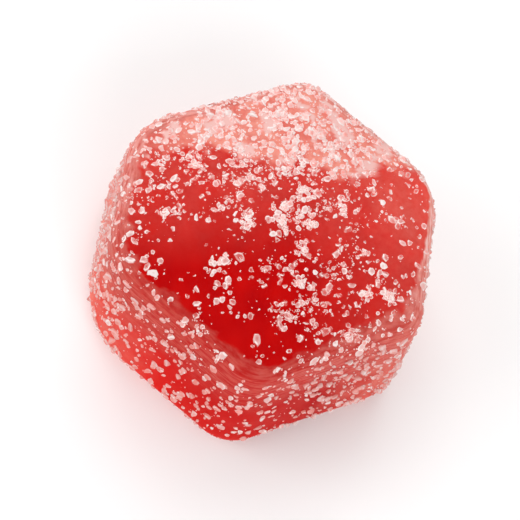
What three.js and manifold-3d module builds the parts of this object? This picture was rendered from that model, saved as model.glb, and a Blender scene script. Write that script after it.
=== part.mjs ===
// A sugared fruit gummy, lying on its flat base. The jelly is a rounded six-sided block that
// narrows towards a gently domed top, and coarse sugar crystals are stuck to it.
// Millimetres, +Z up. The origin is on the resting plane, under the middle of the block.

import * as THREE from 'three';
import { LoftGeometry } from 'three/addons/geometries/LoftGeometry.js';
import { mergeVertices } from 'three/addons/utils/BufferGeometryUtils.js';
import Module from 'manifold-3d';

// ---- The jelly block ----

const shoulderHeight = 11; // where the walls would meet the rim of the top
const domeRise = 1.1; // the middle of the top stands this far above its rim
const topEdgeRadius = 0.9;
const baseEdgeRadius = 2.1;
const sides = 6;
const topEdgeTurn = THREE.MathUtils.degToRad(75); // the edge turns this far, and the dome goes on

// How far each flat side lies from the middle. The first one faces half a side's turn round
// from +X, at 30 degrees, and the others follow every 60 degrees.
const sideAtBase = [10.35, 10.3, 10.2, 10.55, 10.35, 10.25];
const sideAtTop = [9.15, 8.8, 8.6, 9.6, 8.6, 8.5];

// The radius of each upright corner. The first one faces +X.
const cornerAtBase = [3.5, 4, 3.8, 4, 6.6, 3.4];
const cornerAtTop = [2.3, 3.8, 2.2, 3.8, 4.1, 2.5];

// The places along the profile, from the base at 0 to the middle of the top at 1, where the
// base edge ends, the wall ends and the top edge ends.
const baseEdgeEnd = 0.2;
const wallEnd = 0.5;
const topEdgeEnd = 0.62;

const cornerSteps = 5;
const sideSteps = 3;
const baseEdgeSteps = 5;
const wallSteps = 2;
const topEdgeSteps = 4;
const domeSteps = 5;
const lastDomeRing = 0.985; // the dome closes with a small flat facet here

// ---- The sugar ----

const sugarSeed = 11;
const looseCrystals = 205;
const crystalWidth = [0.4, 0.6];
const crystalSpacing = 0.85; // no two loose crystals have their middles closer than this
const lowestCrystal = 0.1; // a place along the profile
const mostArea = 2500; // above the skin's area for one whole step round and along, anywhere
const crystalLength = [0.9, 1.35]; // as a share of its width, as the next two are
const crystalThickness = [0.65, 0.95];
const lift = 0.08; // how far a crystal's middle stands off the jelly
const mostTilt = THREE.MathUtils.degToRad(38); // off lying flat on the jelly

// Crystals stuck together on the top: the middle of the clump, and its width.
const clumps = [
  { x: -1.1, y: -4.7, width: 1.7 },
  { x: -0.2, y: 2.2, width: 1.6 },
  { x: -1.3, y: -1.9, width: 1.5 },
  { x: 0.1, y: -0.5, width: 1.0 },
  { x: 1.4, y: 0.7, width: 1.3 },
  { x: 2.0, y: -0.9, width: 1.0 },
  { x: 3.2, y: -2.6, width: 1.4 },
  { x: 6.4, y: -0.3, width: 1.0 },
  { x: 7.5, y: 0.5, width: 1.1 },
  { x: -5.4, y: -4.4, width: 1.2 },
  { x: -6.0, y: -1.0, width: 1.2 },
  { x: -2.3, y: 3.8, width: 1.5 },
  { x: -4.7, y: 1.6, width: 1.3 },
  { x: 2.3, y: 2.6, width: 1.0 },
  { x: -0.8, y: 5.4, width: 1.4 },
  { x: -4.6, y: 5.0, width: 1.3 },
];
const crystalsRound = 4; // round the middle one of a clump
const usualClump = 1.3; // the crystals of a clump this wide are of the usual size
const middleGrowth = 1.2; // and the middle one is larger than those round it
const clumpReach = [0.22, 0.36]; // from the middle to the others, as a share of the clump's width
const rimTries = 720; // places of the rim that are tried to find the one straight out from a point
const clumpUnevenness = 0.6; // how far one may stray round, as a share of the gap to the next

// Patches of the top that the sugar left thin: the middle, the radius and the share that is left.
const barePatches = [
  { x: -2.6, y: -5.6, radius: 3.4, share: 0.3 },
  { x: 5.6, y: 4.2, radius: 3.2, share: 0.3 },
  { x: 1.6, y: -6.2, radius: 2.6, share: 0.4 },
];

// ---- The shape of the block ----

const { lerp, clamp, degToRad } = THREE.MathUtils;
const up = new THREE.Vector3(0, 0, 1);
const sideTurn = 360 / sides;

// The arc of one upright corner, at a height and an inset from the block's own outline.
function cornerArc(corner, height, inset) {
  const share = height / shoulderHeight;
  const after = corner % sides;
  const before = (corner + sides - 1) % sides;
  const radius = lerp(cornerAtBase[after], cornerAtTop[after], share) - inset;
  const reachBefore = lerp(sideAtBase[before], sideAtTop[before], share) - inset - radius;
  const reachAfter = lerp(sideAtBase[after], sideAtTop[after], share) - inset - radius;
  const from = degToRad(sideTurn * (after - 0.5));
  const to = degToRad(sideTurn * (after + 0.5));
  const middle = new THREE.Vector2(
    reachBefore * Math.sin(to) - reachAfter * Math.sin(from),
    reachAfter * Math.cos(from) - reachBefore * Math.cos(to),
  ).divideScalar(Math.sin(to - from));
  return { middle, radius, from, to };
}

function pointOnArc(arc, share) {
  const angle = lerp(arc.from, arc.to, share);
  const spoke = new THREE.Vector2(Math.cos(angle), Math.sin(angle));
  return spoke.multiplyScalar(arc.radius).add(arc.middle);
}

// A point of the outline. Going round from 0 to 1 passes every corner, each followed by a side,
// and the corner takes the first half of its share of the way.
function outlinePoint(around, height, inset) {
  const turn = (around - Math.floor(around)) * sides;
  const corner = Math.floor(turn);
  const share = (turn - corner) * 2;
  const arc = cornerArc(corner, height, inset);
  if (share <= 1) {
    return pointOnArc(arc, share);
  }
  const next = cornerArc(corner + 1, height, inset);
  return pointOnArc(arc, 1).lerp(pointOnArc(next, 0), share - 1);
}

// A point of the block's skin: round the outline, and along the profile from base to top.
function skinPoint(around, along) {
  const baseTurn = clamp(along / baseEdgeEnd, 0, 1) * Math.PI / 2;
  const wallShare = clamp((along - baseEdgeEnd) / (wallEnd - baseEdgeEnd), 0, 1);
  const topTurn = clamp((along - wallEnd) / (topEdgeEnd - wallEnd), 0, 1) * topEdgeTurn;
  const towardsRim = 1 - clamp((along - topEdgeEnd) / (1 - topEdgeEnd), 0, 1);
  const inset = baseEdgeRadius * (1 - Math.sin(baseTurn)) + topEdgeRadius * (1 - Math.cos(topTurn));
  const height = baseEdgeRadius * (1 - Math.cos(baseTurn))
    + wallShare * (shoulderHeight - topEdgeRadius - baseEdgeRadius)
    + topEdgeRadius * Math.sin(topTurn);
  const rise = domeRise * (1 - towardsRim ** 2);
  const flat = outlinePoint(around, height, inset).multiplyScalar(towardsRim);
  return new THREE.Vector3(flat.x, flat.y, height + rise);
}

// The outward direction at a point of the skin, and the area that a step of each kind covers.
function skinSlope(around, along) {
  const step = 1e-4;
  const here = skinPoint(around, along);
  const acrossStep = skinPoint(around + step, along).sub(here);
  const upStep = skinPoint(around, along + step).sub(here);
  const normal = acrossStep.cross(upStep).divideScalar(step * step);
  const area = normal.length();
  return { normal: normal.divideScalar(area), area };
}

function profileSteps() {
  const stretches = [
    [0, baseEdgeEnd, baseEdgeSteps],
    [baseEdgeEnd, wallEnd, wallSteps],
    [wallEnd, topEdgeEnd, topEdgeSteps],
    [topEdgeEnd, lastDomeRing, domeSteps],
  ];
  const steps = [0];
  for (const [start, end, count] of stretches) {
    for (let i = 1; i <= count; i += 1) {
      steps.push(lerp(start, end, i / count));
    }
  }
  return steps;
}

function outlineSteps() {
  const steps = [];
  for (let corner = 0; corner < sides; corner += 1) {
    for (let i = 0; i < cornerSteps; i += 1) {
      steps.push((corner + i / cornerSteps / 2) / sides);
    }
    for (let i = 0; i < sideSteps; i += 1) {
      steps.push((corner + 0.5 + i / sideSteps / 2) / sides);
    }
  }
  return steps;
}

function blockGeometry() {
  const around = outlineSteps();
  const sections = profileSteps().map((along) => around.map((share) => skinPoint(share, along)));
  return new LoftGeometry(sections, { capStart: true, capEnd: true });
}

// ---- The shape and place of the crystals ----

// What is drawn for each crystal, by the number that keeps one draw apart from another.
const choice = {
  around: 1, along: 2, kept: 3, width: 4, length: 5, thickness: 6, tiltX: 7, tiltY: 8, turn: 9,
};
const clumpChoice = { angle: 1, reach: 2 };
const firstClumpItem = 1000;
const scramble = { item: 12.9898, choice: 78.233, sine: 43758.5453 };

// The same number between 0 and 1 every time for the same item and choice: the digits far down
// in a sine.
function chance(item, choiceNumber) {
  const place = item * scramble.item + choiceNumber * scramble.choice + sugarSeed;
  const mixed = Math.sin(place) * scramble.sine;
  return mixed - Math.floor(mixed);
}

// How much of the sugar is left at a point of the skin, from 0 to 1.
function sugarShare(point) {
  let share = 1;
  if (point.z > shoulderHeight - topEdgeRadius) {
    for (const patch of barePatches) {
      const distance = Math.hypot(point.x - patch.x, point.y - patch.y);
      const nearness = clamp(2 - 2 * distance / patch.radius, 0, 1);
      share = Math.min(share, lerp(1, patch.share, nearness));
    }
  }
  return share;
}

// Loose crystals lie where an even draw over the skin's area puts them, thinned on the bare
// patches, and never closer than their spacing. The flat base stays clear.
function looseSites() {
  const sites = [];
  for (let draw = 0; sites.length < looseCrystals; draw += 1) {
    const around = chance(draw, choice.around);
    const along = lerp(lowestCrystal, 1, chance(draw, choice.along));
    const point = skinPoint(around, along);
    const slope = skinSlope(around, along);
    const wanted = chance(draw, choice.kept) * mostArea < slope.area * sugarShare(point);
    const clear = sites.every((site) => site.point.distanceTo(point) > crystalSpacing);
    if (wanted && clear) {
      sites.push({ point, normal: slope.normal });
    }
  }
  return sites;
}

// The skin's height and outward direction straight above a point of the top. The way round the
// outline is found by trying places of the rim for the one that lies nearest to that direction.
function siteOnTop(x, y) {
  const angle = Math.atan2(y, x);
  let around = 0;
  let nearest = Infinity;
  for (let i = 0; i < rimTries; i += 1) {
    const rim = skinPoint(i / rimTries, topEdgeEnd);
    const miss = Math.abs(Math.sin((Math.atan2(rim.y, rim.x) - angle) / 2));
    if (miss < nearest) {
      nearest = miss;
      around = i / rimTries;
    }
  }
  const rim = skinPoint(around, topEdgeEnd);
  const share = Math.min(Math.hypot(x, y) / Math.hypot(rim.x, rim.y), 1);
  const along = lerp(1, topEdgeEnd, share);
  return { point: skinPoint(around, along), normal: skinSlope(around, along).normal };
}

// A clump is one middle crystal with others round it that overlap it.
function clumpSites() {
  const sites = [];
  clumps.forEach((clump, index) => {
    const grow = clump.width / usualClump;
    sites.push({ ...siteOnTop(clump.x, clump.y), grow: middleGrowth * grow });
    for (let i = 0; i < crystalsRound; i += 1) {
      const item = firstClumpItem + index * crystalsRound + i;
      const stray = clumpUnevenness * chance(item, clumpChoice.angle);
      const angle = (i + stray) * 2 * Math.PI / crystalsRound;
      const reach = clump.width * lerp(...clumpReach, chance(item, clumpChoice.reach));
      const x = clump.x + reach * Math.cos(angle);
      const y = clump.y + reach * Math.sin(angle);
      sites.push({ ...siteOnTop(x, y), grow });
    }
  });
  return sites;
}

// One crystal: a blunt brick that lies on the jelly, tilted a little and partly sunk in.
function crystalGeometry(site, item) {
  const width = lerp(...crystalWidth, chance(item, choice.width)) * (site.grow ?? 1);
  const length = width * lerp(...crystalLength, chance(item, choice.length));
  const thickness = width * lerp(...crystalThickness, chance(item, choice.thickness));
  const grain = new THREE.BoxGeometry(length, width, thickness);
  grain.rotateX(lerp(-mostTilt, mostTilt, chance(item, choice.tiltX)));
  grain.rotateY(lerp(-mostTilt, mostTilt, chance(item, choice.tiltY)));
  grain.rotateZ(2 * Math.PI * chance(item, choice.turn));
  grain.applyQuaternion(new THREE.Quaternion().setFromUnitVectors(up, site.normal));
  const middle = site.normal.clone().multiplyScalar(lift * width).add(site.point);
  return grain.translate(middle.x, middle.y, middle.z);
}

// ---- Joining it all ----

const wasm = await Module();
wasm.setup();
const mergeWithin = 1e-4;

function solidFrom(geometry) {
  const bare = new THREE.BufferGeometry();
  bare.setAttribute('position', geometry.getAttribute('position'));
  bare.setIndex(geometry.getIndex());
  const merged = mergeVertices(bare, mergeWithin);
  const vertProperties = new Float32Array(merged.attributes.position.array);
  const triVerts = new Uint32Array(merged.index.array);
  return new wasm.Manifold(new wasm.Mesh({ numProp: 3, vertProperties, triVerts }));
}

function geometryFrom(solid) {
  const mesh = solid.getMesh();
  const geometry = new THREE.BufferGeometry();
  geometry.setAttribute('position', new THREE.BufferAttribute(mesh.vertProperties, 3));
  geometry.setIndex(new THREE.BufferAttribute(mesh.triVerts, 1));
  geometry.computeVertexNormals();
  return geometry;
}

// The crystals of a clump can shut in a tiny hollow, so only the outer skin is kept.
function sugaredBlock() {
  const sites = [...clumpSites(), ...looseSites()];
  const block = solidFrom(blockGeometry());
  const joined = sites.reduce((soFar, site, item) => {
    return soFar.add(solidFrom(crystalGeometry(site, item)));
  }, block);
  return joined.decompose().find((skin) => skin.volume() > block.volume());
}

const jelly = new THREE.MeshStandardMaterial({ color: 0xc0161a, roughness: 0.35, metalness: 0 });
const gummy = new THREE.Mesh(geometryFrom(sugaredBlock()), jelly);
gummy.name = 'sugared_gummy';

const group = new THREE.Group();
group.add(gummy);

export default group;
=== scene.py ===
import math

import bpy
import numpy as np
from mathutils import Matrix, Vector


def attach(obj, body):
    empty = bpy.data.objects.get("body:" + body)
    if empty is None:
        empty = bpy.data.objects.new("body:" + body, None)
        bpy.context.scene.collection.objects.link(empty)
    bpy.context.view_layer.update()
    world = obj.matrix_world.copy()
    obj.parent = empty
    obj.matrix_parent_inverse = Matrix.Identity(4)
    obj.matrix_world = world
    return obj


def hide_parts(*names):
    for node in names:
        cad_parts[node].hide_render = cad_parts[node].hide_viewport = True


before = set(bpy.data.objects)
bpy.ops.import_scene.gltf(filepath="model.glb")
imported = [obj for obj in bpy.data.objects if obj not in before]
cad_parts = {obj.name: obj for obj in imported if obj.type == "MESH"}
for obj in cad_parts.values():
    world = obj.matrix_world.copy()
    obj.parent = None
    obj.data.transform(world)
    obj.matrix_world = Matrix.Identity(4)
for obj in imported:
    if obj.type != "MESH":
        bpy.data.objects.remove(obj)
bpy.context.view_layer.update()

# A red fruit gummy coated in table sugar. Sizes below are millimetres, as a confectioner has them,
# and everything is turned into Blender's metres when its mesh is made.
metre = 0.001

block = {
    "shoulderHeight": 11.0,     # where the walls would meet the rim of the top
    "domeRise": 1.1,
    "topEdgeRadius": 0.9,
    "baseEdgeRadius": 2.1,
    "topEdgeTurn": 75.0,        # degrees that the top edge turns before the dome takes over
    "sideAtBase": (10.35, 10.3, 10.2, 10.55, 10.35, 10.25),   # first side faces 30 degrees
    "sideAtTop": (9.15, 8.8, 8.6, 9.6, 8.6, 8.5),
    "cornerAtBase": (3.5, 4.0, 3.8, 4.0, 6.6, 3.4),           # first corner faces +X
    "cornerAtTop": (2.3, 3.8, 2.2, 3.8, 4.1, 2.5),
    "baseEdgeEnd": 0.2,         # places along the profile, 0 at the base and 1 at the top's middle
    "wallEnd": 0.5,
    "topEdgeEnd": 0.62,
    "firstRow": -0.98,          # the rows stop just short of the middle of the base and of the top
    "lastRow": 0.985,
    "rows": (24, 34, 50, 24, 58),   # on the base, its edge, the wall, the top edge and the top
    "columns": 336,
    "unevenness": 0.05,         # the set jelly isn't perfectly flat
    "unevenWidth": 5.0,
    "unevenSeed": 3,
    "facingFrom": 0.001,        # below this place the skin faces as it does here, as on the flat base
    "peakRise": 0.002,          # from the last row to the middle of the top
    "baseHollow": 0.1,          # the jelly stands on its crystals, this far off the table
    "hollowEdge": 0.05,         # how far along the profile the base rises to it
}


def mix(a, b, share):
    return a + (b - a) * share


def rising(value, start, length, least=0.0):
    # from the least share to 1 over a length
    return np.clip((value - start) / length, least, 1)


def outlinePoint(around, height, inset):
    # Round a hexagon from 0 to 1: six corner arcs, each tangent to the side before and after it,
    # each followed by the straight line to the next arc. Sides and radii blend with height.
    turn = (around % 1.0) * 6
    corner = np.floor(turn).astype(int) % 6
    share = (turn - np.floor(turn)) * 2
    level = height / block["shoulderHeight"]

    def arcPoint(k, angleShare):
        k = k % 6
        before = (k + 5) % 6
        sideLow, sideHigh = np.array(block["sideAtBase"]), np.array(block["sideAtTop"])
        radiusLow, radiusHigh = np.array(block["cornerAtBase"]), np.array(block["cornerAtTop"])
        radius = mix(radiusLow[k], radiusHigh[k], level) - inset
        reachBefore = mix(sideLow[before], sideHigh[before], level) - inset - radius
        reachAfter = mix(sideLow[k], sideHigh[k], level) - inset - radius
        start = np.radians(60 * k - 30)
        end = np.radians(60 * k + 30)
        spread = math.sin(math.radians(60))
        middleX = (reachBefore * np.sin(end) - reachAfter * np.sin(start)) / spread
        middleY = (reachAfter * np.cos(start) - reachBefore * np.cos(end)) / spread
        angle = mix(start, end, angleShare)
        return middleX + radius * np.cos(angle), middleY + radius * np.sin(angle)

    onArcX, onArcY = arcPoint(corner, np.clip(share, 0, 1))
    nextX, nextY = arcPoint(corner + 1, np.zeros_like(share))
    alongSide = np.clip(share - 1, 0, 1)
    return mix(onArcX, nextX, alongSide), mix(onArcY, nextY, alongSide)


def skinPoint(around, along):
    # The profile is a quarter circle at the base, a straight wall, a part circle at the top edge
    # and a parabola over the top; below 0 it runs in along the flat base to the middle.
    around, along = np.broadcast_arrays(np.asarray(around, float), np.asarray(along, float))
    baseEnd, wallEnd, topEnd = block["baseEdgeEnd"], block["wallEnd"], block["topEdgeEnd"]
    baseTurn = rising(along, 0, baseEnd) * math.pi / 2
    upWall = rising(along, baseEnd, wallEnd - baseEnd)
    topTurn = rising(along, wallEnd, topEnd - wallEnd) * math.radians(block["topEdgeTurn"])
    towardsRim = 1 - rising(along, topEnd, 1 - topEnd)
    lowRadius, highRadius = block["baseEdgeRadius"], block["topEdgeRadius"]
    inset = lowRadius * (1 - np.sin(baseTurn)) + highRadius * (1 - np.cos(topTurn))
    height = lowRadius * (1 - np.cos(baseTurn)) + highRadius * np.sin(topTurn)
    height = height + upWall * (block["shoulderHeight"] - lowRadius - highRadius)
    x, y = outlinePoint(around, height, inset)
    reach = towardsRim * (1 + np.clip(along, -1, 0))
    return np.stack([x * reach, y * reach, height + block["domeRise"] * (1 - towardsRim ** 2)], -1)


def skinNormal(around, along):
    # across both of the ways that the skin runs, and the area of a unit of around by along
    step = 1e-4
    here = skinPoint(around, along)
    across = skinPoint(around + step, along) - here
    upward = skinPoint(around, along + step) - here
    normal = np.cross(across, upward) / step ** 2
    area = np.linalg.norm(normal, axis=-1)
    return normal / np.maximum(area, 1e-9)[..., None], area


def softField(points, width, seed):
    # A smooth random field from -1 to 1: the sum of a dozen cosine waves of about one width,
    # each with its own direction and start.
    draw = np.random.default_rng(seed)
    waves = 12
    fewest, most = 0.7, 1.4         # waves that fit in a width
    usualHeight = 1.6               # of the sum, as its waves rarely meet at their crests
    direction = draw.normal(size=(waves, 3))
    direction /= np.linalg.norm(direction, axis=1)[:, None]
    stretch = draw.uniform(fewest, most, waves)[:, None]
    phase = draw.uniform(0, 2 * math.pi, waves)
    total = np.cos(points @ (direction * stretch * 2 * math.pi / width).T + phase).sum(-1)
    return np.clip(total / math.sqrt(waves) / usualHeight, -1, 1)


def unevenField(points, layers):
    # smooth fields on top of each other, each with its height, its width and its seed
    return sum(height * softField(points, width, seed) for height, width, seed in layers)


def meshPiece(name, points, faces, smooth=True, fields=None, facetFields=None, normals=None):
    # points in millimetres, faces an array of corner indices with one row for each face
    mesh = bpy.data.meshes.new(name)
    mesh.vertices.add(len(points))
    mesh.vertices.foreach_set("co", (points * metre).astype(np.float32).ravel())
    mesh.loops.add(faces.size)
    mesh.loops.foreach_set("vertex_index", faces.astype(np.int32).ravel())
    mesh.polygons.add(len(faces))
    mesh.polygons.foreach_set("loop_start", np.arange(0, faces.size, faces.shape[1], dtype=np.int32))
    mesh.polygons.foreach_set("use_smooth", np.full(len(faces), smooth))
    mesh.update(calc_edges=True)
    for domain, chosen in (("POINT", fields), ("FACE", facetFields)):
        for key, values in (chosen or {}).items():
            mesh.attributes.new(key, "FLOAT", domain).data.foreach_set(
                "value", values.astype(np.float32).ravel())
    if normals is not None:
        mesh.normals_split_custom_set_from_vertices(normals)
    piece = bpy.data.objects.new(name, mesh)
    bpy.context.scene.collection.objects.link(piece)
    return piece


def wrapFaces(rows, columns):
    # triangles between neighbouring rows of a grid whose columns close on themselves
    row, column = np.meshgrid(np.arange(rows - 1), np.arange(columns), indexing="ij")
    following = (column + 1) % columns
    quads = np.stack([row * columns + column, row * columns + following,
                      (row + 1) * columns + following, (row + 1) * columns + column], -1)
    quads = quads.reshape(-1, 4)
    return np.concatenate([quads[:, [0, 1, 2]], quads[:, [0, 2, 3]]])


sugar = {
    "clumps": (                 # x, y and width of the crystals that stuck together on the top
        (-1.1, -4.7, 1.7), (-0.2, 2.2, 1.6), (-1.3, -1.9, 1.5), (0.1, -0.5, 1.0),
        (1.4, 0.7, 1.3), (2.0, -0.9, 1.0), (3.2, -2.6, 1.4), (6.4, -0.3, 1.0),
        (7.5, 0.5, 1.1), (-5.4, -4.4, 1.2), (-6.0, -1.0, 1.2), (-2.3, 3.8, 1.5),
        (-4.7, 1.6, 1.3), (2.3, 2.6, 1.0), (-0.8, 5.4, 1.4), (-4.6, 5.0, 1.3)),
    "bare": (                   # x, y, radius and share left of the thin patches on the top
        (-2.6, -5.6, 3.4, 0.3), (5.6, 4.2, 3.2, 0.3), (1.6, -6.2, 2.6, 0.4)),
    "rich": (                   # x, y, radius and extra share of small crystals, below 0 for fewer
        (-5.6, 0.5, 6.5, 1.1), (0.5, 3.5, 4.0, 0.5), (4.4, -2.6, 3.8, 0.8), (3.7, -3.2, 1.6, 1.0),
        (-0.6, -3.3, 2.4, -0.7), (3.2, -7.3, 2.4, -0.8), (5.4, -4.4, 1.8, -0.5)),
    "drift": 0.85,              # the usual share, and how far it strays from place to place
    "driftLayers": ((0.85, 2.4, 31), (0.45, 1.0, 32)),
    "driftRange": (0.08, 1.8),
    "farSide": (-0.68, 0.73),   # the sugar lies thickest towards this side of the top
    "thickEdge": (              # its near edge: millimetres to the right of that way, and along it
        (-8.0, 3.9), (-4.3, 4.6), (-0.3, 3.2), (1.2, 3.8), (3.8, 2.5), (7.3, 3.6)),
    "thickRagged": ((0.35, 2.0, 5), (0.3, 0.9, 6)),
    "thickFade": 0.9,
    "thinCorner": (-6.5, 4.5, 0.3),     # millimetres to the right, over how many, and the least share
    "paste": ((1.0, 2.6, 12), (0.45, 0.8, 13)),
    "pasteFrom": 0.42,
    "pasteFade": 0.12,
    "underPaste": 0.75,         # share of the crystals that dissolved where the paste is
    "walls": (0.6, 0.7, 0.6, 0.42, 0.17, 0.22),     # for the sides from 30 degrees on, sixty apart
    "wallDrift": (0.6, 0.5),    # of that, the share without drifts and what they add
    "onFace": 0.26,             # share of the sugar that lies on the open face and on the base
    "onBase": 0.25,
    "lowestAlong": -0.97,       # nearest to the middle of the base
    "mostArea": 2500.0,         # square millimetres that a unit of around by along has at the most
}

shared = {                      # the largest crystals, at the same places as on the solid
    "seed": 11,
    "formSeed": 20,
    "tries": 9000,
    "count": 205,
    "width": (0.4, 0.6),
    "firstWidth": 80,           # where the solid's draws for these widths begin
    "spacing": 0.85,            # millimetres from the middle of one to the next
    "lowest": 0.1,              # place along the profile
    "scramble": (12.9898, 78.233, 43758.5453),  # any uneven numbers do, the last one large
    "choice": {"around": 1, "along": 2, "keep": 3, "width": 4},
}


def chance(item, choice):
    # the same number from 0 to 1 every time: the digits far down in a sine
    itemStep, choiceStep, magnified = shared["scramble"]
    turned = item * itemStep + shared["choice"][choice] * choiceStep + shared["seed"]
    mixed = np.sin(turned) * magnified
    return mixed - np.floor(mixed)


def onTop(points):
    return points[..., 2] > block["shoulderHeight"] - block["topEdgeRadius"]


def nearness(points, x, y, radius):
    # 1 over the inner half of a round patch, falling to 0 at its edge
    distance = np.hypot(points[..., 0] - x, points[..., 1] - y)
    return np.clip(2 - 2 * distance / radius, 0, 1)


def bareShare(points):
    # how much sugar is left: 1 in general, falling to each patch's own share near its middle
    share = np.ones(points.shape[:-1])
    for x, y, radius, left in sugar["bare"]:
        share = np.minimum(share, mix(1, left, nearness(points, x, y, radius)))
    return np.where(onTop(points), share, 1.0)


def topPlace(points):
    # millimetres towards the thickly sugared side, and to the right of that way
    x, y = sugar["farSide"]
    return points[..., 0] * x + points[..., 1] * y, points[..., 0] * y - points[..., 1] * x


def thickShare(points):
    # 0 on most of the sweet, rising to 1 over the thickly sugared side of the top, with a ragged edge
    far, right = topPlace(points)
    edge = np.interp(right, *zip(*sugar["thickEdge"]))
    past = far + unevenField(points, sugar["thickRagged"]) - edge
    return np.clip(past / sugar["thickFade"] + 0.5, 0, 1) * onTop(points)


def pasteShare(points):
    # where sugar dissolved to a smooth paste among the thick crystals
    field = unevenField(points, sugar["paste"])
    return thickShare(points) * rising(field, sugar["pasteFrom"], sugar["pasteFade"])


def compass(points):
    return np.degrees(np.arctan2(points[..., 1], points[..., 0]))


def bySide(points, values):
    # a value that each side has of its own, blended round the corners
    return np.interp(compass(points), np.arange(30, 390, 60), values, period=360)


def byCompass(points, values):
    # values at every thirty degrees from +X on, blended in between
    return np.interp(compass(points), np.arange(0, 360, 30), values, period=360)


def sugarLeft(points, along):
    # how thickly the loose crystals lie, from 0 to 1: gathered into drifts, thin on the face,
    # thick at its far side, and on the walls as much as each side has
    drifts = np.clip(sugar["drift"] + unevenField(points, sugar["driftLayers"]), *sugar["driftRange"])
    for x, y, radius, extra in sugar["rich"]:
        drifts = drifts * (1 + extra * nearness(points, x, y, radius))
    thin = rising(topPlace(points)[1], *sugar["thinCorner"])
    thick = thickShare(points) * (1 - sugar["underPaste"] * pasteShare(points)) * thin
    top = (sugar["onFace"] * drifts * (1 - thick) + thick) * bareShare(points)
    still, drifting = sugar["wallDrift"]
    wall = bySide(points, sugar["walls"]) * (still + drifting * drifts)
    return np.where(along < 0, sugar["onBase"], np.where(onTop(points), top, wall))


def sharedSites():
    # the same draw as the solid's loose crystals: even over the skin's area, thinned on the bare
    # patches, none closer to another than the spacing
    draws = np.arange(shared["tries"])
    around = chance(draws, "around")
    along = mix(shared["lowest"], 1.0, chance(draws, "along"))
    points = skinPoint(around, along)
    area = skinNormal(around, along)[1]
    wanted = np.flatnonzero(chance(draws, "keep") * sugar["mostArea"] < area * bareShare(points))
    kept = []
    for draw in wanted:
        gaps = np.linalg.norm(points[kept] - points[draw], axis=1) if kept else np.array([math.inf])
        if gaps.min() > shared["spacing"]:
            kept.append(draw)
        if len(kept) == shared["count"]:
            break
    return around[kept], along[kept]


def scatter(look):
    # places drawn evenly over the skin's area and kept by the share of sugar that each spot has
    draw = np.random.default_rng(look["seeds"][0])
    lowest = sugar["lowestAlong"]
    tries = int(look["perSquareMillimetre"] * sugar["mostArea"] * (1 - lowest))
    around = draw.uniform(0, 1, tries)
    along = draw.uniform(lowest, 1, tries)
    points = skinPoint(around, along)
    area = skinNormal(around, along)[1]
    left = sugarLeft(points, along) * np.where(onTop(points), 1, look["leftOnWall"])
    left = left * mix(1, look["leftInThick"], thickShare(points))
    kept = np.flatnonzero(draw.uniform(0, sugar["mostArea"], tries) < area * left)
    return around[kept], along[kept]


clumpForm = {
    "seed": 24,
    "widthSeed": 25,
    "formSeed": 26,
    "perClump": 28,
    "width": (0.12, 0.38),
    "outline": 0.5,
    "arms": ((0.28, 2), (0.2, 3), (0.14, 5)),   # how far each set of arms reaches, and how many
    "reach": 0.75,
    "gathered": 0.6,            # 0.5 spreads the grains evenly, more gathers them in the middle
    "piledUp": 0.16,
    "whiter": 0.2,
    "rimSteps": 2001,           # close enough together to look a compass angle up in
}


def siteOnTop(x, y):
    # the place on the skin above x, y: first round the outline, then in from the rim of the top
    steps = np.linspace(0, 1, clumpForm["rimSteps"])
    rim = skinPoint(steps, block["topEdgeEnd"])
    angle = np.unwrap(np.arctan2(rim[:, 1], rim[:, 0]))
    wanted = (np.arctan2(y, x) - angle[0]) % (2 * math.pi) + angle[0]
    around = np.interp(wanted, angle, steps)
    rim = skinPoint(around, block["topEdgeEnd"])
    share = np.clip(np.hypot(x, y) / np.hypot(rim[..., 0], rim[..., 1]), 0, 1)
    return around, mix(1.0, block["topEdgeEnd"], share)


def clumpSites():
    # crystals that grew together: each clump an uneven star of grains, piled up in its middle
    draw = np.random.default_rng(clumpForm["seed"])
    perClump = clumpForm["perClump"]
    clumps = np.repeat(np.array(sugar["clumps"]), perClump, axis=0)
    starts = draw.uniform(0, 2 * math.pi, (len(sugar["clumps"]), len(clumpForm["arms"])))
    angle = draw.uniform(0, 2 * math.pi, len(clumps))
    outline = clumpForm["outline"]
    for (height, lobes), start in zip(clumpForm["arms"], np.repeat(starts, perClump, axis=0).T):
        outline = outline + height * np.cos(lobes * angle - start)
    share = draw.uniform(0, 1, len(clumps)) ** clumpForm["gathered"]
    reach = clumps[:, 2] * (outline * clumpForm["reach"]) * share
    around, along = siteOnTop(clumps[:, 0] + reach * np.cos(angle), clumps[:, 1] + reach * np.sin(angle))
    lift = clumpForm["piledUp"] * (1 - share) * draw.uniform(0, 1, len(clumps))
    return around, along, lift, clumpForm["whiter"] * (1 - share)


crystalForm = {                 # what all crystals have in common, in shares of their width
    "cornerStrays": 0.28,       # of the way to the next corner
    "ringStrays": 0.06,
    "oblong": 0.14,
    "slope": 0.22,              # of the top face
    "capHeight": 1.04,          # of the top ring's height
    "footDepth": 0.6,
    "thickerOnWall": 1.6,
    "outOnWall": 0.1,
    "offTable": 0.01,           # millimetres
    "roundness": 2.0,           # how much its facets melt into each other
    "skyward": (1.1, 0.9),      # how far normals lean to the sky, and how far an overhang stops it
    "clearInThick": 0.06,       # how much less white it is in the thick sugar, on a wall and at its foot
    "clearOnWall": 0.25,
    "clearFoot": 0.35,
    "rimOnWall": 0.9,
    "filmedOnWall": 0.84,       # how far dried syrup hides what lies behind it
    "filmedInThick": 0.96,
    "wallSlope": (0.95, 0.15),  # the normal's rise where walls begin, and how much less on a full wall
}


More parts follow.
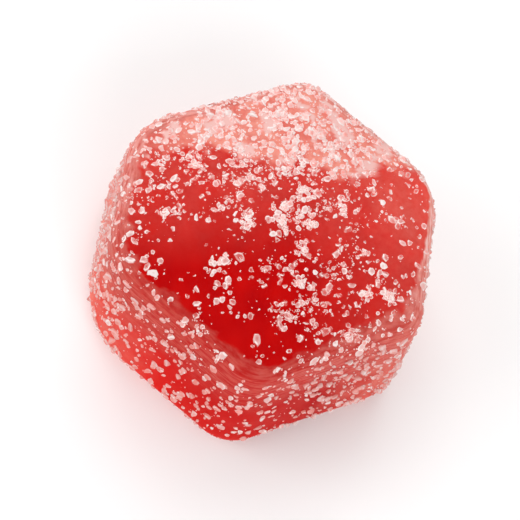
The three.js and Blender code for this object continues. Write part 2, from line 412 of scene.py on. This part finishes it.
def crystalPoints(draw, point, normal, width, look, lift):
    # One crystal is a blunt many-sided tablet: a small top face, a rim round its middle and an
    # underside sunk in the jelly, each ring an uneven polygon. All are worked out together as an
    # array of crystals by rings by corners, then turned to lie on the skin.
    count, corners, rings = len(width), look["corners"], len(look["ringRadius"])
    form = crystalForm
    strays = draw.uniform(-form["cornerStrays"], form["cornerStrays"], (count, corners))
    angle = (np.arange(corners) + strays) * 2 * math.pi / corners
    uneven = 1 + draw.normal(0, look["ragged"], (count, corners))
    radius = np.array(look["ringRadius"])[None, :, None] * uneven[:, None, :]
    radius = radius * (1 + draw.normal(0, form["ringStrays"], (count, rings, corners)))
    stretch = np.exp(draw.normal(0, form["oblong"], count))[:, None, None]
    x = radius * np.cos(angle)[:, None, :] * stretch
    y = radius * np.sin(angle)[:, None, :] / stretch
    slope = draw.normal(0, form["slope"], (2, count, 1, 1))
    thickness = draw.uniform(*look["thickness"], count) * np.where(onTop(point), 1, form["thickerOnWall"])
    thickness = thickness[:, None, None]
    ringHeight = np.array(look["ringHeight"])[None, :, None]
    z = ringHeight * thickness + np.zeros_like(x)
    z = z + (slope[0] * x + slope[1] * y) * (ringHeight > 0)
    upright = np.array([0, 0, 1.0])
    cap = z[:, 0].mean(1)[:, None, None] * upright * form["capHeight"]
    foot = -thickness * form["footDepth"] * upright
    local = np.stack([x, y, z], -1).reshape(count, rings * corners, 3)
    local = np.concatenate([cap, local, foot], 1) * (width / 2)[:, None, None]

    tilted = normal + draw.normal(0, look["tilt"], (count, 3))
    tilted /= np.linalg.norm(tilted, axis=1)[:, None]
    side = np.cross(tilted, draw.normal(size=(count, 3)))
    side /= np.linalg.norm(side, axis=1)[:, None]
    other = np.cross(tilted, side)
    raised = draw.uniform(*look["raised"], count) + np.where(onTop(point), 0, form["outOnWall"])
    raised = raised * width + lift
    middle = point + normal * raised[:, None]
    placed = local[..., :1] * side[:, None] + local[..., 1:2] * other[:, None]
    placed = placed + local[..., 2:] * tilted[:, None] + middle[:, None]
    placed[..., 2] = np.maximum(placed[..., 2], form["offTable"])
    return placed, middle, tilted


def crystalFaces(corners, rings):
    # a fan over the top, a band of triangle pairs between neighbouring rings, a fan underneath
    here = np.arange(corners)
    following = (here + 1) % corners
    parts = [np.stack([np.zeros(corners, int), 1 + here, 1 + following], 1)]
    for ring in range(rings - 1):
        upper, lower = 1 + ring * corners, 1 + (ring + 1) * corners
        parts.append(np.stack([upper + here, lower + here, lower + following], 1))
        parts.append(np.stack([upper + here, lower + following, upper + following], 1))
    last = 1 + (rings - 1) * corners
    parts.append(np.stack([np.full(corners, rings * corners + 1), last + following, last + here], 1))
    return np.concatenate(parts)


def facetTones(draw, point, look, whiter):
    # Its tone runs from 0, clear with the red behind it, to 1, white: one for the flat top and others for
    # the facets of the rim, whose extra white is a painted highlight for the light that they throw back,
    # with painted glints at random.
    count, corners, rings = len(point), look["corners"], len(look["ringRadius"])
    milk = draw.beta(*look["milky"], count) - crystalForm["clearInThick"] * thickShare(point) + whiter
    milk = np.where(onTop(point), milk, milk - crystalForm["clearOnWall"])[:, None]
    topTone = np.repeat(milk, corners, axis=1)
    # painted highlights: the rim's facets are whiter than the top, and some at random whiter still as
    # painted glints
    paintedGlints = draw.normal(0, look["paintedGlint"], (count, (rings - 1) * corners))
    sideTone = milk + look["rimHighlightTone"] + paintedGlints
    sideTone[:, corners:] -= crystalForm["clearFoot"]
    order = np.tile(np.arange(corners), 2)[None] + (np.arange(rings - 1) * corners)[:, None]
    return np.concatenate([topTone, sideTone[:, order.ravel()], topTone], 1).ravel()


def crystalPiece(name, around, along, width, look, seed, lift=0.0, whiter=0.0):
    # the crystals of one kind as one mesh, with what their sugar needs to know at each corner
    draw = np.random.default_rng(seed)
    corners, rings, form = look["corners"], len(look["ringRadius"]), crystalForm
    point = skinPoint(around, along)
    normal = skinNormal(around, along)[0]
    placed, middle, tilted = crystalPoints(draw, point, normal, width, look, lift)
    tones = facetTones(draw, point, look, whiter)
    perCrystal = rings * corners + 2
    faces = crystalFaces(corners, rings)[None] + (np.arange(len(width)) * perCrystal)[:, None, None]

    # Light crosses a crystal and brightens its far side, so its normals lean to the skin's and the sky's.
    skyward, down = form["skyward"]
    lean = tilted + np.clip(normal[:, 2:] + down, 0, 1) * np.array([0, 0, skyward])
    lean /= np.linalg.norm(lean, axis=1)[:, None]
    leaning = np.concatenate([[1.0], np.repeat(look["ringLean"], corners), [-1.0]])[:, None]
    outward = placed - middle[:, None]
    outward = outward + lean[:, None] * leaning * (width * form["roundness"])[:, None, None]
    outward /= np.linalg.norm(outward, axis=2)[:, :, None]

    beginning, less = form["wallSlope"]
    onWall = form["filmedOnWall"] * rising(-normal[:, 2], -beginning, less)
    filmed = np.maximum(onWall, form["filmedInThick"] * thickShare(point))
    # rim carries the painted rim highlight, each ring's share of it
    rim = np.concatenate([[0.0], np.repeat(look["ringHighlight"], corners), [1.0]])
    rim = np.outer(np.where(onTop(point), 1, form["rimOnWall"]), rim)
    fields = {"rim": rim, "filmed": np.repeat(filmed, perCrystal)}
    return meshPiece(name, placed.reshape(-1, 3), faces.reshape(-1, 3), normals=outward.reshape(-1, 3),
                     fields=fields, facetFields={"tone": tones})


# Each kind has its own places, widths and forms, from its three seeds. What begins with ring has a
# number for each ring, from the top face to the foot. Milky shapes how many crystals are white.
# Each ring's share of the painted rim highlight, the painted highlight of the rim's facets and the random
# painted glints are set here too.
rough = {                       # what the two larger kinds share
    "ringRadius": (0.68, 0.97, 1.1), "ringHighlight": (0.7, 1.0, 0.1), "ringLean": (1.0, 1.0, 0.1),
    "thickness": (0.8, 1.2), "rimHighlightTone": 0.2, "paintedGlint": 0.22,
}
coarse = {
    **rough, "corners": 7, "ringHeight": (0.22, 0.01, -0.4), "ragged": 0.1, "tilt": 0.25,
    "raised": (-0.06, 0.04), "milky": (1.2, 3.4),
    "perSquareMillimetre": 6.0, "leftOnWall": 0.75, "leftInThick": 1.0,
    "width": (0.26, 0.5), "seeds": (21, 71, 121),
}
medium = {
    **rough, "corners": 6, "ringHeight": (0.23, 0.01, -0.4), "ragged": 0.12, "tilt": 0.3,
    "raised": (-0.06, 0.08), "milky": (1.2, 3.2),
    "perSquareMillimetre": 9.0, "leftOnWall": 0.7, "leftInThick": 0.7,
    "width": (0.14, 0.28), "seeds": (22, 72, 122),
}
fine = {
    "ringRadius": (0.55, 1.0), "ringHighlight": (0.6, 1.0), "ringLean": (1.0, 0.9),
    "thickness": (0.9, 1.3), "rimHighlightTone": 0.1, "paintedGlint": 0.2,
    "corners": 5, "ringHeight": (0.24, -0.06), "ragged": 0.15, "tilt": 0.25,
    "raised": (-0.05, 0.06), "milky": (1.6, 2.2),
    "perSquareMillimetre": 26.0, "leftOnWall": 0.4, "leftInThick": 0.45,
    "width": (0.05, 0.13), "seeds": (23, 73, 123),
}


def linear(hexColour):
    # sRGB hex to the linear light that the shaders work in
    channels = [int(hexColour[i:i + 2], 16) / 255 for i in (1, 3, 5)]
    return [c / 12.92 if c <= 0.04045 else ((c + 0.055) / 1.055) ** 2.4 for c in channels] + [1.0]


def addNode(tree, kind, settings=None, inputs=None):
    # one node with its settings, and its inputs as plain values or as (node, output) links
    node = tree.nodes.new(kind)
    for key, value in (settings or {}).items():
        setattr(node, key, value)
    for key, value in (inputs or {}).items():
        if isinstance(value, tuple) and isinstance(value[0], bpy.types.Node):
            tree.links.new(value[0].outputs[value[1]], node.inputs[key])
        else:
            node.inputs[key].default_value = value
    return node


def fromTo(ranges):
    # the four inputs of a Map Range node, from a pair of ranges
    (low, high), (newLow, newHigh) = ranges
    return {"From Min": low, "From Max": high, "To Min": newLow, "To Max": newHigh}


def newMaterial(name):
    material = bpy.data.materials.new(name)
    material.use_nodes = True
    material.node_tree.nodes.clear()
    return material, material.node_tree


def finishMaterial(tree, shader):
    addNode(tree, "ShaderNodeOutputMaterial", inputs={"Surface": (shader, 0)})


jellyLook = {
    "deep": "#9c040c",          # painted shade: the jelly's red darkened for the middle, where the least light comes through
    "paintedGlow": "#fa1c10",          # painted glow: the red as lit through, for near the edges and low on the walls
    "film": "#e69283",          # thin dried syrup, and the colour of the painted sheen
    "paste": "#e6b6b0",         # dissolved sugar that dried thick
    "through": 0.85,            # how much of the light goes into the bare jelly and not into film
    "subsurfaceRadius": (1.4, 0.2, 0.16),    # millimetres: red light runs far through the jelly
    "roughness": 0.4,
    "filmRoughness": 0.6,
    "specular": 0.006,          # sugar dulls the jelly, so it shines less than a bare one
    "grain": 0.35,              # millimetres, of the film where it breaks up
    "grainStrength": 0.25,
    "grainDepth": 0.05,         # millimetres
    "breaks": 1.1,              # how strongly the film breaks up
    "streakWidth": 0.14,        # millimetres, of the lines that the mould left along the top edge
    "streakLength": 1.1,
    "streakFilm": ((0.4, 0.65), (-0.08, 0.12)),     # from the noise to the film and paste that it adds
    "streakPaste": ((0.38, 0.64), (-0.9, 0.9)),
}


def jellyMaterial():
    # Set fruit jelly: red light travels deep and comes back out near the edges, so the middle looks dark and
    # wet and the walls glow. Besides the subsurface scattering, that dark middle and that glow are painted
    # into the base colour by place, as painted shade and painted glow. A dried film of dissolved sugar dulls
    # parts of it, and the film colour also carries a painted sheen.
    look = jellyLook
    material, tree = newMaterial("setFruitJelly")
    place = addNode(tree, "ShaderNodeTexCoord")
    paintedGlow, film, band, paste = (
        addNode(tree, "ShaderNodeAttribute", {"attribute_name": name})
        for name in ("paintedGlow", "film", "band", "paste"))
    grain = addNode(tree, "ShaderNodeTexNoise", inputs={
        "Vector": (place, "Object"), "Scale": 1 / (look["grain"] * metre),
        "Detail": 4.0, "Roughness": 0.6})
    broken = addNode(tree, "ShaderNodeMath", {"operation": "MULTIPLY_ADD"}, {
        0: (grain, "Fac"), 1: look["breaks"], 2: -look["breaks"] / 2})
    ragged = addNode(tree, "ShaderNodeMath", {"operation": "MULTIPLY_ADD"}, {
        0: (broken, 0), 1: (film, "Fac"), 2: (film, "Fac")})
    fineness = [1 / (look[key] * metre) for key in ("streakLength", "streakLength", "streakWidth")]
    drawn = addNode(tree, "ShaderNodeMapping", inputs={"Vector": (place, "Object"), "Scale": fineness})
    streak = addNode(tree, "ShaderNodeTexNoise", inputs={
        "Vector": (drawn, 0), "Scale": 1.0, "Detail": 3.0, "Roughness": 0.55})
    lines = addNode(tree, "ShaderNodeMapRange", inputs={
        "Value": (streak, "Fac"), **fromTo(look["streakFilm"])})
    onBand = addNode(tree, "ShaderNodeMath", {"operation": "MULTIPLY_ADD"}, {
        0: (lines, 0), 1: (band, "Fac"), 2: (ragged, 0)})
    filmAndSheenCover = addNode(tree, "ShaderNodeClamp", inputs={"Value": (onBand, 0)})
    streaky = addNode(tree, "ShaderNodeMapRange", inputs={
        "Value": (streak, "Fac"), **fromTo(look["streakPaste"])})
    rubbed = addNode(tree, "ShaderNodeMath", {"operation": "MULTIPLY"}, {
        0: (band, "Fac"), 1: (paste, "Fac")})
    pasted = addNode(tree, "ShaderNodeMath", {"operation": "MULTIPLY_ADD"}, {
        0: (rubbed, 0), 1: (streaky, 0), 2: (paste, "Fac")})
    dried = addNode(tree, "ShaderNodeClamp", inputs={"Value": (pasted, 0)})
    body = addNode(tree, "ShaderNodeMix", {"data_type": "RGBA"}, {
        0: (paintedGlow, "Fac"), 6: linear(look["deep"]), 7: linear(look["paintedGlow"])})
    # the film colour laid on here carries both the dried syrup and the painted sheen
    filmed = addNode(tree, "ShaderNodeMix", {"data_type": "RGBA"}, {
        0: (filmAndSheenCover, 0), 6: (body, 2), 7: linear(look["film"])})
    colour = addNode(tree, "ShaderNodeMix", {"data_type": "RGBA"}, {
        0: (dried, 0), 6: (filmed, 2), 7: linear(look["paste"])})
    dull = addNode(tree, "ShaderNodeMapRange", inputs={
        "Value": (filmAndSheenCover, 0), "To Min": look["roughness"], "To Max": look["filmRoughness"]})
    stopped = addNode(tree, "ShaderNodeMath", {"operation": "MAXIMUM"}, {0: (filmAndSheenCover, 0), 1: (dried, 0)})
    through = addNode(tree, "ShaderNodeMapRange", inputs={
        "Value": (stopped, 0), "To Min": look["through"], "To Max": 0.0})
    bump = addNode(tree, "ShaderNodeBump", inputs={
        "Strength": look["grainStrength"], "Distance": look["grainDepth"] * metre,
        "Height": (grain, "Fac")})
    shader = addNode(tree, "ShaderNodeBsdfPrincipled", inputs={
        "Base Color": (colour, 2), "Roughness": (dull, 0), "Normal": (bump, 0),
        "IOR": 1.45, "Specular IOR Level": look["specular"],
        "Subsurface Weight": (through, 0), "Subsurface Scale": metre,
        "Subsurface Radius": look["subsurfaceRadius"]})
    finishMaterial(tree, shader)
    return material


crystalLook = {
    "clear": "#f8a298",
    "filmed": "#e98e84",        # under dried syrup, on the walls and in the thick sugar
    # white of milky sugar, and of the painted rim highlights and glints
    "white": "#ecddda",
    "roughness": 0.25,
    "paintedRimHighlight": 0.45,           # painted highlight: how much whiter and less clear the rim is than the middle
    "clearest": 0.1,            # how much of the light the clearest crystal stops
}


def crystalMaterial():
    # Table sugar: clear where the light goes through to the jelly, white where it is milky, with painted
    # highlights at its rims and facets for the light that it bends and throws back.
    look = crystalLook
    material, tree = newMaterial("tableSugar")
    rim, tone, filmed = (
        addNode(tree, "ShaderNodeAttribute", {"attribute_name": name}) for name in ("rim", "tone", "filmed"))
    paler = addNode(tree, "ShaderNodeMath", {"operation": "MULTIPLY_ADD"}, {
        0: (rim, "Fac"), 1: look["paintedRimHighlight"], 2: (tone, "Fac")})
    share = addNode(tree, "ShaderNodeClamp", inputs={"Value": (paler, 0)})
    clear = addNode(tree, "ShaderNodeMix", {"data_type": "RGBA"}, {
        0: (filmed, "Fac"), 6: linear(look["clear"]), 7: linear(look["filmed"])})
    colour = addNode(tree, "ShaderNodeMix", {"data_type": "RGBA"}, {
        0: (share, 0), 6: (clear, 2), 7: linear(look["white"])})
    body = addNode(tree, "ShaderNodeMapRange", inputs={
        "Value": (share, 0), "To Min": look["clearest"], "To Max": 1.0})
    alpha = addNode(tree, "ShaderNodeMath", {"operation": "MAXIMUM"}, {0: (body, 0), 1: (filmed, "Fac")})
    shader = addNode(tree, "ShaderNodeBsdfPrincipled", inputs={
        "Base Color": (colour, 2), "Roughness": look["roughness"], "IOR": 1.54, "Alpha": (alpha, 0)})
    finishMaterial(tree, shader)
    return material


coating = {                     # painted glow, painted sheen and dried syrup over the jelly, in shares from 0 to 1
    "topGlow": 0.25,
    "paintedSheenGlow": 0.8,
    "mottled": ((0.06, 3.0, 44), (0.04, 1.2, 45)),
    "bandGlow": 0.12,
    "wallGlow": (0.3, 0.3, 0.3, 0.4, 0.24, 0.03),   # for the sides from 30 degrees on, sixty apart
    "lowGlow": (0.6, 1.6),      # of that, the share at the shoulder and how much it grows below
    "paintedSheenFar": (-3.0, 5.0, 0.14),   # where the painted sheen begins, how far it grows and how thick it gets
    "paintedSheenRight": (0.5, 7.0, 0.14),
    "paintedSheenPatchy": ((0.3, 3.5, 8),),     # height, width and seed
    "thickFilm": 0.78,
    "thickPatchy": 0.25,
    "thinCorner": (-9.5, 4, 0.6),   # as for the sugar
    "patches": ((1.0, 2.2, 9),),
    "wallFilm": (0.75, 0.7, 0.7, 0.66, 0.02, 0.06),
    "wallPatchy": 0.4,
    # the band is the top edge, where the mould's lines show; its values go from 0 degrees on
    # dried syrup on the band, together with the painted satin sheen of the rounded top edge
    "bandFilmAndSheen": (0.32, 0.72, 0.85, 0.75, 0.7, 0.6, 0.5, 0.42, 0.23, 0.16, 0.15, 0.19),
    "bandPaste": (0.05, 0.5, 0.6, 0.4, 0.3, 0.2, 0.2, 0.2, 0.0, 0.0, 0.0, 0.05),
    "pastePatchy": ((0.4, 0.5, 43),),
    "bandStart": (0.34, 0.1),   # place along the profile, and over how much of it the band fades in
    "bandTop": (                # place along the profile where it ends, by compass degrees
        (-180, 0.612), (-40, 0.612), (-23, 0.625), (-16, 0.636), (10, 0.638), (20, 0.61), (33, 0.59),
        (55, 0.578), (75, 0.59), (90, 0.612), (180, 0.612)),
    "bandTopFade": 0.014,
    "bandRagged": ((0.014, 1.8, 41), (0.008, 0.6, 42)),
}


def jellyMasks(points, along):
    # The painted glow is how near the light comes through: none in the middle of the top, most low on the
    # walls. The film is how much dried syrup lies on the jelly, and it also carries a painted sheen on the
    # top's far and right side and on the band; the band is where the mould's edge left its lines.
    low = np.clip(1 - points[..., 2] / block["shoulderHeight"], 0, 1)
    edge = np.interp(compass(points), *zip(*coating["bandTop"]))
    top = rising(along + unevenField(points, coating["bandRagged"]), edge, coating["bandTopFade"])
    band = rising(along, *coating["bandStart"]) * (1 - top)
    wall = 1 - top - band
    far, right = topPlace(points)
    # painted sheen: a veil of reflected light painted on the top's far and right side, carried as film
    # colour and as extra glow
    paintedSheen = 0
    for place, (start, length, most) in ((far, coating["paintedSheenFar"]), (right, coating["paintedSheenRight"])):
        paintedSheen = paintedSheen + most * rising(place, start, length)

    onTheTop = coating["topGlow"] + paintedSheen * coating["paintedSheenGlow"] + unevenField(points, coating["mottled"])
    shoulder, below = coating["lowGlow"]
    onTheWall = np.clip(bySide(points, coating["wallGlow"]) * (shoulder + low * below), 0, 1)
    paintedGlow = top * onTheTop + band * coating["bandGlow"] + wall * onTheWall

    patches = unevenField(points, coating["patches"])
    paintedSheen = paintedSheen * (1 + unevenField(points, coating["paintedSheenPatchy"]))
    thick = thickShare(points) * (coating["thickFilm"] + coating["thickPatchy"] * patches)
    film = top * np.maximum(paintedSheen, thick * rising(right, *coating["thinCorner"]))
    film = film + band * byCompass(points, coating["bandFilmAndSheen"])
    film = film + wall * bySide(points, coating["wallFilm"]) * (1 + coating["wallPatchy"] * patches)
    bandPaste = band * byCompass(points, coating["bandPaste"])
    paste = np.maximum(pasteShare(points), bandPaste * (1 + unevenField(points, coating["pastePatchy"])))
    return {"paintedGlow": paintedGlow, "film": np.clip(film, 0, 1), "band": band, "paste": np.clip(paste, 0, 1)}


def jellyBlock():
    # the skin on a grid that is closer where it turns more, with both of its middles closed by fans
    starts = (block["firstRow"], 0, block["baseEdgeEnd"], block["wallEnd"], block["topEdgeEnd"])
    ends = (*starts[1:], block["lastRow"])
    rows = np.concatenate([np.linspace(start, end, count, endpoint=end == block["lastRow"])
                           for start, end, count in zip(starts, ends, block["rows"])])
    columns = np.arange(block["columns"]) / block["columns"]
    around, along = np.meshgrid(columns, rows)
    points = skinPoint(around, along)
    normal = skinNormal(around, np.clip(along, block["facingFrom"], 1))[0]
    wave = softField(points, block["unevenWidth"], block["unevenSeed"])
    wave = wave * rising(along, 0, block["baseEdgeEnd"])
    points = points + normal * (wave * block["unevenness"])[..., None]
    points[..., 2] += block["baseHollow"] * rising(-along, 0, block["hollowEdge"])
    peak = points[-1, :, 2].mean() + block["peakRise"]
    poles = np.array([[0, 0, block["baseHollow"]], [0, 0, peak]])
    allPoints = np.concatenate([points.reshape(-1, 3), poles])

    here = np.arange(len(columns))
    following = (here + 1) % len(columns)
    lastRow = (len(rows) - 1) * len(columns)
    basePole, topPole = len(allPoints) - 2, len(allPoints) - 1
    foot = np.stack([following, here, np.full(len(columns), basePole)], 1)
    head = np.stack([lastRow + here, lastRow + following, np.full(len(columns), topPole)], 1)
    masks = jellyMasks(allPoints, np.concatenate([along.ravel(), [-1, 1]]))
    triangles = np.concatenate([wrapFaces(len(rows), len(columns)), foot, head])
    return meshPiece("jellyBlock", allPoints, triangles, fields=masks)


print("jelly")
jelly = jellyBlock()
jelly.data.materials.append(jellyMaterial())

print("largest crystals")
around, along = sharedSites()
width = mix(*shared["width"], chance(np.arange(len(around)) + shared["firstWidth"], "width"))
largest = crystalPiece("largestCrystals", around, along, width, coarse, shared["formSeed"])

print("clumps")
around, along, lift, whiter = clumpSites()
width = np.random.default_rng(clumpForm["widthSeed"]).uniform(*clumpForm["width"], len(around))
clumped = crystalPiece("clumpedCrystals", around, along, width, coarse, clumpForm["formSeed"], lift, whiter)

pieces = [jelly, largest, clumped]
for name, look in (("coarseCrystals", coarse), ("mediumCrystals", medium), ("fineCrystals", fine)):
    around, along = scatter(look)
    width = np.random.default_rng(look["seeds"][1]).uniform(*look["width"], len(around))
    pieces.append(crystalPiece(name, around, along, width, look, look["seeds"][2]))
    print(name, len(around), "crystals", len(pieces[-1].data.polygons), "faces")

crystal = crystalMaterial()
for piece in pieces[1:]:
    piece.data.materials.append(crystal)
    piece.visible_shadow = False        # clear sugar lets the light through to the jelly
for piece in pieces:
    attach(piece, "root")
    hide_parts("sugared_gummy")

view = {
    "tilt": 22.5,               # the camera's angle off straight down
    "turn": -13.5,              # how far the sweet is turned under it
    "roll": 27.6,
    "distance": 84.0,
    "lens": 93.05,              # millimetres, as are the distance and the sensor's width
    "sensorWidth": 36,
    "pixelsPerMillimetre": 16.0,
    "middle": (265.8, 254.8),   # where the sweet's middle shows in the 520 by 520 frame
    "frameMiddle": 260,
    "middleHeight": 5.55,
}


def placeCamera():
    tilt, turn, roll = (math.radians(view[key]) for key in ("tilt", "turn", "roll"))
    across = Vector((math.cos(turn), -math.sin(turn), 0))
    away = Vector((math.sin(turn) * math.cos(tilt), math.cos(turn) * math.cos(tilt), math.sin(tilt)))
    back = across.cross(away)
    right = across * math.cos(roll) + away * math.sin(roll)
    upward = away * math.cos(roll) - across * math.sin(roll)
    offRight = (view["middle"][0] - view["frameMiddle"]) / view["pixelsPerMillimetre"]
    offUp = (view["frameMiddle"] - view["middle"][1]) / view["pixelsPerMillimetre"]
    aim = Vector((0, 0, view["middleHeight"])) - right * offRight - upward * offUp
    data = bpy.data.cameras.new("camera")
    data.lens = view["lens"]
    data.sensor_width = view["sensorWidth"]
    data.clip_start = 0.005
    data.clip_end = 5
    camera = bpy.data.objects.new("camera", data)
    camera.matrix_world = Matrix.Translation((aim + back * view["distance"]) * metre) @ Matrix(
        (right, upward, back)).transposed().to_4x4()
    bpy.context.scene.collection.objects.link(camera)
    bpy.context.scene.camera = camera


studio = {
    "softBoxes": {              # compass angle, angle above the table, distance, width and power
        "farSoftBox": (-40, 50, 300, 250, 0.4),
        "nearSoftBox": (125, 35, 300, 200, 0.42),
        "leftSoftBox": (235, 35, 300, 200, 0.3),
    },
    "table": "#f9f9f9",
    "tableRoughness": 0.6,
    "tableReach": 400.0,
    "tableHeight": -0.02,       # just clear of the crystals that the sweet stands on
    "roomLight": (1.0, 0.4),    # from the horizon up to the height where it stops dimming
    "dimmestHeight": 0.7,
}


def softBox(name, azimuth, elevation, distance, size, power):
    # a square light that looks at the sweet from a compass angle round it and a height above it
    data = bpy.data.lights.new(name, "AREA")
    data.shape = "SQUARE"
    data.size = size * metre
    data.energy = power
    light = bpy.data.objects.new(name, data)
    flat = math.cos(math.radians(elevation))
    spot = Vector((flat * math.sin(math.radians(azimuth)), flat * math.cos(math.radians(azimuth)),
                   math.sin(math.radians(elevation)))) * distance * metre
    light.location = spot
    light.rotation_euler = spot.to_track_quat("Z", "Y").to_euler()
    bpy.context.scene.collection.objects.link(light)


def paleTable():
    # painted board: plain and matt, so that it takes a soft shadow and no reflection
    material, tree = newMaterial("paleTable")
    shader = addNode(tree, "ShaderNodeBsdfPrincipled", inputs={
        "Base Color": linear(studio["table"]), "Roughness": studio["tableRoughness"]})
    finishMaterial(tree, shader)
    reach, height = studio["tableReach"], studio["tableHeight"]
    corners = np.array([[x * reach, y * reach, height] for x, y in ((-1, -1), (1, -1), (1, 1), (-1, 1))])
    floor = meshPiece("floor", corners, np.array([[0, 1, 2, 3]]), smooth=False)
    floor.data.materials.append(material)


def paleRoom():
    # a light tent: bright near the horizon all round, dimmer overhead
    world = bpy.data.worlds.new("paleRoom")
    bpy.context.scene.world = world
    world.use_nodes = True
    tree = world.node_tree
    tree.nodes.clear()
    place = addNode(tree, "ShaderNodeTexCoord")
    parts = addNode(tree, "ShaderNodeSeparateXYZ", inputs={0: (place, "Generated")})
    shade = addNode(tree, "ShaderNodeMapRange", {"interpolation_type": "SMOOTHSTEP"}, {
        "Value": (parts, "Z"), **fromTo(((0.0, studio["dimmestHeight"]), studio["roomLight"]))})
    light = addNode(tree, "ShaderNodeBackground", inputs={
        "Color": (1, 1, 1, 1), "Strength": (shade, 0)})
    addNode(tree, "ShaderNodeOutputWorld", inputs={"Surface": (light, 0)})


print("studio")
placeCamera()
paleTable()
paleRoom()
for name, values in studio["softBoxes"].items():
    softBox(name, *values)
bpy.context.scene.view_settings.view_transform = "Standard"
